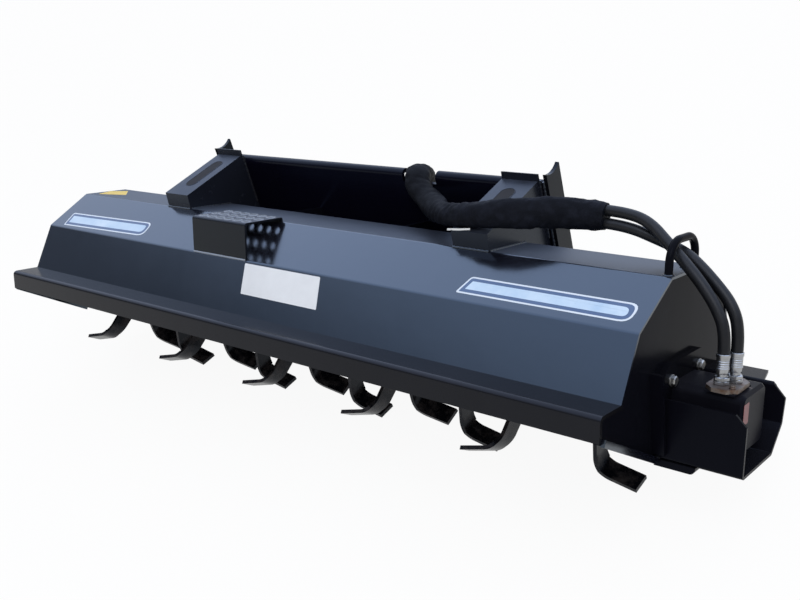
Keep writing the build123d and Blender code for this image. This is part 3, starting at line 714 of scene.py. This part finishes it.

# Welds of the braces, and on each brace's top a thin dark sheet over the slot's outline as painted shade of the
# slot, with a bead round it
BRACE_X, BRACE_SIDE, BRACE_SLOPE = 494, 48, math.radians(25.35)
HEAD_Y, FOOT_Y, FOOT_Z = 454.7, 250, 199.5
SLOT_Z, SLOT_RADIUS, SLOT_HALF, SLOT_POINTS = 286.5, 18.5, 48, 32
PLATE_EDGE = 551
for name, side in (("left", -1), ("right", 1)):
    welds = Shape()
    welds.bead([hood(side * BRACE_X + dx, 259, FOOT_Z) for dx in (-47, 47)], 3.0)
    for edge in (-BRACE_SIDE, BRACE_SIDE):
        x = side * BRACE_X + edge
        welds.bead([hood(x, 262, HOOD_TOP), hood(x, 403, HOOD_TOP)], 2.8)
        welds.bead([hood(x, 506, 196), hood(x, HEAD_Y + 1, 333)], 3.2)
    welds.bead([plate(side * PLATE_EDGE, -0.5, -18), plate(side * PLATE_EDGE, -0.5, -490)], 3.0)
    welds.piece(f"brace_welds_{name}", weld_paint)
    along = turned(0, math.cos(BRACE_SLOPE), math.sin(BRACE_SLOPE))
    middle = hood(side * BRACE_X, (FOOT_Y + HEAD_Y) / 2, SLOT_Z)
    outline = []
    for k in range(SLOT_POINTS):
        angle = math.tau * (k + 0.5) / SLOT_POINTS
        reach = math.sin(angle) * SLOT_RADIUS + math.copysign(SLOT_HALF, math.sin(angle))
        outline.append(OUT * (math.cos(angle) * SLOT_RADIUS / 1000) + along * (reach / 1000))
    # Painted shade: a thin dark sheet where the slot's hollow shows
    inset, rim = Shape(), Shape()
    inset.slab([middle + p for p in outline], -0.2, 0.5)
    inset.piece(f"brace_slot_shade_{name}", slot_shade_paint)
    rim.bead([middle + p * 1.02 for p in outline], 1.0, closed=True, step=8)
    rim.piece(f"brace_slot_rim_{name}", brace_black)

# A nut on the plate, a rivet on the hood, and the welds of the plate, the step and the hose loop
small_parts = Shape()
small_parts.bolt(plate(517, 0.5, -54), Vector((0, -1, 0)), 17, 0, 9)
small_parts.turned(hood(926, 362, HOOD_TOP), UP, [(-0.3, 5.5, 0), (1.2, 5.2, 0), (2.4, 3.4, 0), (2.8, 1.2, 0)])
small_parts.piece("small_parts", brace_black)
plate_welds = Shape()
plate_welds.bead([hood(-550, 538, 117), hood(550, 538, 117)], 3.2, step=4)
for x in (-194.5, -185.5, 185.5, 194.5):
    plate_welds.bead([hood(x, 410, 197), hood(x, 500, 138)], 2.6, step=4)
plate_welds.piece("plate_welds", weld_paint)
STEP_X, STEP_Y = -184, 197
step_welds = Shape()
for y, z in ((132.5, 121), (261.5, HOOD_TOP)):
    step_welds.bead([hood(STEP_X - 97, y, z), hood(STEP_X + 97, y, z)], 2.6)
# The step's welds take the light grey paint as painted highlights
step_welds.piece("step_welds", step_glint_paint)
LOOP_X, LOOP_FEET, LOOP_RADIUS, LOOP_POINTS = 937, (273, 392), 9, 16
loop_welds = Shape()
for y in LOOP_FEET:
    rim = []
    for k in range(LOOP_POINTS):
        angle = k * math.tau / LOOP_POINTS
        rim.append(hood(LOOP_X + LOOP_RADIUS * math.cos(angle), y + LOOP_RADIUS * math.sin(angle),
                        HOOD_TOP + 0.5))
    loop_welds.bead(rim, 2.4, closed=True, step=4)
loop_welds.piece("hose_loop_welds", weld_paint)

# Raised rims round the step's grip holes: rings whose section runs through these heights and radii
GRIP_COLUMNS, GRIP_ROWS, GRIP_PITCH_X, GRIP_PITCH_Y, GRIP_POINTS = 6, 3, 32, 41, 24
rim_section = [(-0.4, 13.4), (0.9, 12.8), (1.9, 11.4), (1.9, 10.4), (0.9, 9.6), (-0.4, 9.5)]
rims = Shape()
for column in range(GRIP_COLUMNS):
    for row in range(GRIP_ROWS):
        place = hood(STEP_X + (column - 2.5) * GRIP_PITCH_X, STEP_Y + (row - 1) * GRIP_PITCH_Y, STEP_TOP)
        start = len(rims.points)
        for height, radius in rim_section:
            rims.points += ring(place + UP * (height / 1000), UP, radius / 1000, count=GRIP_POINTS)
        for r in range(len(rim_section)):
            low, high = start + r * GRIP_POINTS, start + (r + 1) % len(rim_section) * GRIP_POINTS
            for k in range(GRIP_POINTS):
                after = (k + 1) % GRIP_POINTS
                rims.faces.append((low + k, low + after, high + after, high + k))
# The rims are painted light grey as painted highlights
rims.piece("step_rims", step_glint_paint)

# The loose tail of a white tie, which shows under the sleeve where it hangs lowest
tie = Shape()
tail = [hood(*p) for p in ((436, 252, 237.5), (452, 250.5, 239.5), (470, 250.5, 241), (496, 252, 244.5))]
thin, wide = turned(0, 0.0006, 0), turned(0, 0, 0.0021)
for a, b in zip(tail, tail[1:]):
    tie.loft([[p - thin - wide, p + thin - wide, p + thin + wide, p - thin + wide] for p in (a, b)])
tie.piece("sleeve_tie", tie_white, slot="sleeve_fabric")

# The tails below the sleeve, with their quick couplers: hexagon, grooved collar and flat face
LONG_COUPLER, SHORT_COUPLER = 82, 73.8
grip = []
for start in (28, 33, 38, 43, 48, 53):
    grip += [(start, 17.9, 0), (start + 0.8, 17.1, 0), (start + 2.2, 17.1, 0), (start + 3, 17.9, 0)]
coupler_profile = [(0, 11.4, 0), (0.8, 12.4, 6), (15, 12.4, 6), (16, 11.4, 0), (24, 11.4, 0), (24.6, 16.6, 0),
                   (26, 17.8, 0), *grip, (61, 17.9, 0), (64.5, 16.4, 0), (65.5, 14.9, 0), (80.6, 14.9, 0),
                   (81.8, 13.8, 0), (81.8, 10.5, 0), (80.2, 10.2, 0)]
for name, tail_name, route, length in (("coupler_a", "hose_tail_a", tail_route_a, LONG_COUPLER),
                                       ("coupler_b", "hose_tail_b", tail_route_b, SHORT_COUPLER)):
    end, direction = plate(*route[-1]), (plate(*route[-1]) - plate(*route[-2])).normalized()
    unit = length / LONG_COUPLER
    coupler = Shape()
    coupler.turned(end, direction, [(height * unit, radius, sides) for height, radius, sides in coupler_profile],
                   48)
    end_piece = coupler.piece(name + "_detail", zinc, slot="zinc_steel")
    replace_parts(end_piece, name)
    hose(tail_name, [plate(*p) for p in route])

# Blank decals and labels: each layer of a decal with its inset in metres, its lift and its thickness
STRIPES = (("edge", 0, -0.1, 0.4, decal_silver), ("field", 0.0045, 0.2, 0.25, decal_blue),
           ("band", 0.0135, 0.35, 0.25, decal_pale))


def decal(name, corners, radii):
    """A generic stripe: a pale edge, a blue field and a paler band, with no lettering."""
    corners = [hood(*c) for c in corners]
    for part, inset, lift, thick, material in STRIPES:
        outline = rounded(shrunk(corners, inset, inset), [max(2, r - inset * 700) for r in radii])
        layer = Shape()
        layer.slab(outline, lift, thick)
        layer.piece(f"{name}_{part}", material)


def label(name, corners, material, radius=3):
    shape = Shape()
    shape.slab(rounded([hood(*c) for c in corners], [radius] * 4), -0.1, 0.4)
    shape.piece(name, material)


decal("decal_right", ((533, 150, 130.6), (921, 150, 130.6), (923, 193, 157.5), (545, 193, 157.5)),
      (6, 24, 20, 8))
decal("decal_left", ((-893, 141, 125), (-524, 150, 130.6), (-535, 196, 159.4), (-906, 187, 153.8)),
      (6, 24, 20, 8))
label("label_front", ((-70, 98.5, 46.1), (183, 98.5, 46.1), (168, 130.5, 114.6), (-85, 130.5, 114.6)),
      label_white)
label("label_motor", ((1098, 276, -63), (1098, 302, -63), (1098, 302, -22), (1098, 276, -22)), label_red)
label("label_top", ((-918, 283, HOOD_TOP), (-831, 321, HOOD_TOP), (-907, 383, HOOD_TOP), (-946, 344, HOOD_TOP)),
      label_yellow, 5)

# Studio: a pale floor, a white backdrop with a dark flag above it and a soft sky overhead

world = bpy.data.worlds.new("world")
scene.world = world
world.use_nodes = True
tree = world.node_tree
tree.nodes.clear()


def world_ramp(factor, stops):
    """A background whose colour follows a direction's height, from 0 straight down to 1 straight up."""
    ramp = add_node(tree, "ShaderNodeValToRGB")
    tree.links.new(factor, ramp.inputs["Fac"])
    fill_ramp(ramp, stops)
    background = add_node(tree, "ShaderNodeBackground")
    tree.links.new(ramp.outputs["Color"], background.inputs["Color"])
    return background


output = add_node(tree, "ShaderNodeOutputWorld")
light_path = add_node(tree, "ShaderNodeLightPath")
coordinate = add_node(tree, "ShaderNodeTexCoord")
mapping = add_node(tree, "ShaderNodeMapping", vector_type="POINT")
mapping.inputs["Rotation"].default_value = (LEAN, 0, 0)
split = add_node(tree, "ShaderNodeSeparateXYZ")
tree.links.new(coordinate.outputs["Generated"], mapping.inputs["Vector"])
tree.links.new(mapping.outputs["Vector"], split.inputs[0])
height = add_node(tree, "ShaderNodeMath", operation="MULTIPLY_ADD")
tree.links.new(split.outputs["Z"], height.inputs[0])
height.inputs[1].default_value = 0.5
height.inputs[2].default_value = 0.5
sky = world_ramp(height.outputs[0], (
    (0.0, (0.5, 0.5, 0.52)), (0.5, (0.62, 0.65, 0.7)), (1.0, (0.92, 0.97, 1.1))))
backdrop = world_ramp(height.outputs[0], (
    (0.0, (1, 1, 1)), (0.525, (1, 1, 1)), (0.545, (0.19, 0.22, 0.27)), (0.60, (0.21, 0.24, 0.31)),
    (0.65, (0.24, 0.28, 0.36)), (0.68, (0.55, 0.64, 0.82)), (0.72, (1.15, 1.32, 1.7)), (0.85, (1.6, 1.9, 2.6)),
    (1.0, (1.8, 2.1, 2.8))))
direct = add_node(tree, "ShaderNodeMath", operation="MAXIMUM")
tree.links.new(light_path.outputs["Is Camera Ray"], direct.inputs[0])
tree.links.new(light_path.outputs["Is Glossy Ray"], direct.inputs[1])
shown = add_node(tree, "ShaderNodeMath", operation="MAXIMUM")
tree.links.new(direct.outputs[0], shown.inputs[0])
tree.links.new(light_path.outputs["Is Transmission Ray"], shown.inputs[1])
choose = add_node(tree, "ShaderNodeMixShader")
tree.links.new(shown.outputs[0], choose.inputs["Fac"])
tree.links.new(sky.outputs[0], choose.inputs[1])
tree.links.new(backdrop.outputs[0], choose.inputs[2])
tree.links.new(choose.outputs[0], output.inputs["Surface"])


LAMP_PLACE, LAMP_TARGET, LAMP_SIDE, LAMP_POWER = Vector((2.5, -2.0, 4.5)), Vector((0, 0, 0.3)), 3.0, 90
key_data = bpy.data.lights.new("key", "AREA")
key_data.shape = "RECTANGLE"
key_data.size = key_data.size_y = LAMP_SIDE
key_data.energy = LAMP_POWER
key = bpy.data.objects.new("key", key_data)
scene.collection.objects.link(key)
key.location = LAMP_PLACE
key.rotation_euler = (LAMP_TARGET - LAMP_PLACE).to_track_quat("-Z", "Y").to_euler()

FLOOR = 30
floor = bpy.data.objects.new("floor", mesh_from(
    "floor", [(-FLOOR, -FLOOR, 0), (FLOOR, -FLOOR, 0), (FLOOR, FLOOR, 0), (-FLOOR, FLOOR, 0)], [(0, 1, 2, 3)]))
scene.collection.objects.link(floor)
f = Nodes("floor")
f.finish(Base_Color=f.mix(f.noise(1.5, 3), (0.82, 0.82, 0.81), (0.86, 0.86, 0.86)), Roughness=0.9)
glow = f.add("ShaderNodeEmission")
path = f.add("ShaderNodeLightPath")
blend = f.add("ShaderNodeMixShader")
seen = f.math("MAXIMUM", f.math("MAXIMUM", path.outputs["Is Camera Ray"], path.outputs["Is Glossy Ray"]),
              path.outputs["Is Transmission Ray"])
f.tree.links.new(f.math("MULTIPLY", seen, 0.93), blend.inputs["Fac"])
f.tree.links.new(f.shader.outputs[0], blend.inputs[1])
f.tree.links.new(glow.outputs[0], blend.inputs[2])
f.tree.links.new(blend.outputs[0], f.output.inputs["Surface"])
floor.data.materials.append(f.material)
floor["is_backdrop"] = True

low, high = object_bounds()
